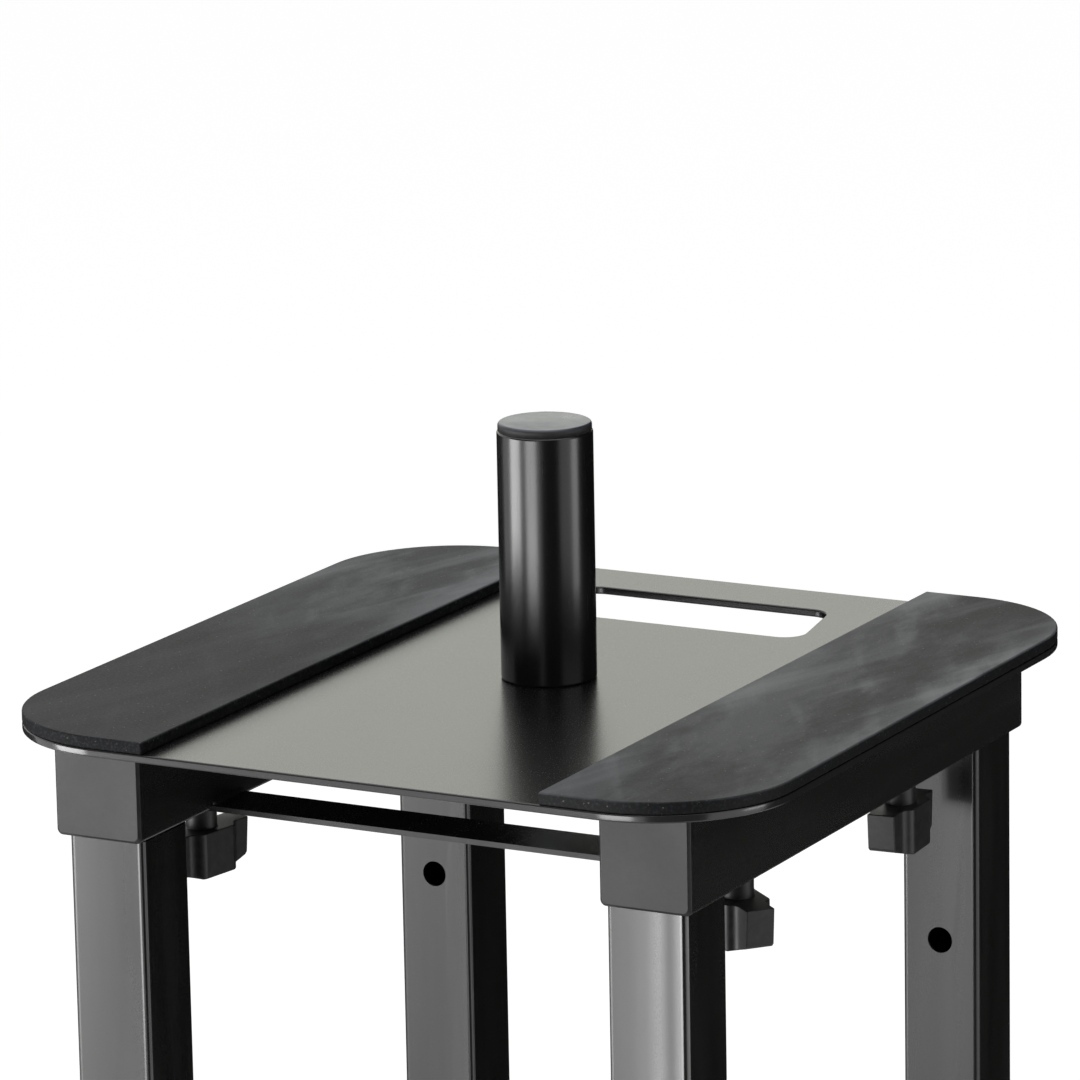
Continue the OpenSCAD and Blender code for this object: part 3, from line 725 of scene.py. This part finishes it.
def bead_tree():
    """A puddle at every Spacing along the guide's lines."""
    tree, given, result = new_tree("weld_bead", {"Spacing": 0.0008, "Radius": 0.0013, "Seed": 3})
    add = tree.nodes.new
    line, evenly = add("GeometryNodeMeshToCurve"), add("GeometryNodeResampleCurve")
    evenly.mode = "LENGTH"
    puddle, place = add("GeometryNodeMeshUVSphere"), add("GeometryNodeInstanceOnPoints")
    puddle.inputs["Segments"].default_value, puddle.inputs["Rings"].default_value = 10, 6
    size = add("FunctionNodeRandomValue")
    size.inputs[RANDOM_MIN].default_value, size.inputs[RANDOM_MAX].default_value = 0.92, 1.06
    wire(tree, (given.outputs["Geometry"], line.inputs[0]),
         (line.outputs[0], evenly.inputs["Curve"]),
         (given.outputs["Spacing"], evenly.inputs["Length"]),
         (given.outputs["Radius"], puddle.inputs["Radius"]),
         (given.outputs["Seed"], size.inputs["Seed"]),
         (evenly.outputs[0], place.inputs["Points"]),
         (puddle.outputs[0], place.inputs["Instance"]),
         (size.outputs[RANDOM_VALUE], place.inputs["Scale"]))
    return end_tree(tree, given, result, place.outputs[0])


weld_bead = bead_tree()
print(weld_bead.name, len(weld_bead.nodes), "nodes")

# %% Lay the beads


def seam_mesh(name, runs):
    """One mesh of separate polylines."""
    mesh = bpy.data.meshes.new(name)
    steps, start = [], 0
    for run in runs:
        steps += [(start + i, start + i + 1) for i in range(len(run) - 1)]
        start += len(run)
    mesh.from_pydata([point for run in runs for point in run], steps, [])
    return mesh


def leg_seams():
    """Across each lower leg's inner face, where it stands on its beam."""
    runs = []
    for corner in CORNERS:
        low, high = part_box("lower_leg_" + corner)
        inner = low.y if low.y > 0 else high.y
        runs.append([(low.x + 3 * MM, inner, low.z), (high.x - 3 * MM, inner, low.z)])
    return runs


def strap_seams(level):
    """Along the top edge of both ends of a level's two straps."""
    reach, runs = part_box(level + "_beam_right")[0].x, []
    for end in ("front", "rear"):
        low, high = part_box(level + "_strap_" + end)
        for x in (-reach, reach):
            runs.append([(x, y, high.z + 0.4 * MM) for y in (low.y + 2 * MM, high.y - 2 * MM)])
    return runs


grown("lower_welds", seam_mesh("lower_seams", leg_seams() + strap_seams("lower")),
      weld_bead, "lower_frame", "frame_paint")
grown("upper_welds", seam_mesh("upper_seams", strap_seams("upper")),
      weld_bead, "upper_frame", "frame_paint", Seed=8)

# %% [markdown]
# ## Grip ribs on the feet
# The moulded feet have fine upright ribs, so that fingers can hold them while their screws are
# turned. A ring of half-buried rods makes them: one rod, placed round a circle of points.

# %% Ribs
RIBS_UP = 7.5 * MM  # from the foot's underside to the ribs' middle


def rib_tree():
    """A ring of upright rods round each point of the guide."""
    tree, given, result = new_tree("foot_ribs", {
        "Count": 40, "Ring radius": 0.0188, "Rib radius": 0.0006, "Height": 0.006})
    add = tree.nodes.new
    ring, rod = add("GeometryNodeMeshCircle"), add("GeometryNodeMeshCylinder")
    rod.inputs["Vertices"].default_value = 8
    ribs, real_ribs = add("GeometryNodeInstanceOnPoints"), add("GeometryNodeRealizeInstances")
    feet = add("GeometryNodeInstanceOnPoints")
    wire(tree, (given.outputs["Count"], ring.inputs["Vertices"]),
         (given.outputs["Ring radius"], ring.inputs["Radius"]),
         (given.outputs["Rib radius"], rod.inputs["Radius"]),
         (given.outputs["Height"], rod.inputs["Depth"]),
         (ring.outputs[0], ribs.inputs["Points"]),
         (rod.outputs[0], ribs.inputs["Instance"]),
         (ribs.outputs[0], real_ribs.inputs[0]),
         (given.outputs["Geometry"], feet.inputs["Points"]),
         (real_ribs.outputs[0], feet.inputs["Instance"]))
    return end_tree(tree, given, result, feet.outputs[0])


def foot_middles():
    """The middle of each foot's ring of ribs."""
    places = []
    for corner in CORNERS:
        low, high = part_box("foot_" + corner)
        places.append(((low.x + high.x) / 2, (low.y + high.y) / 2, low.z + RIBS_UP))
    return places


foot_points = bpy.data.meshes.new("foot_points")
foot_points.from_pydata(foot_middles(), [], [])
grown("foot_ribs", foot_points, rib_tree(), "lower_frame", "foot_rubber")
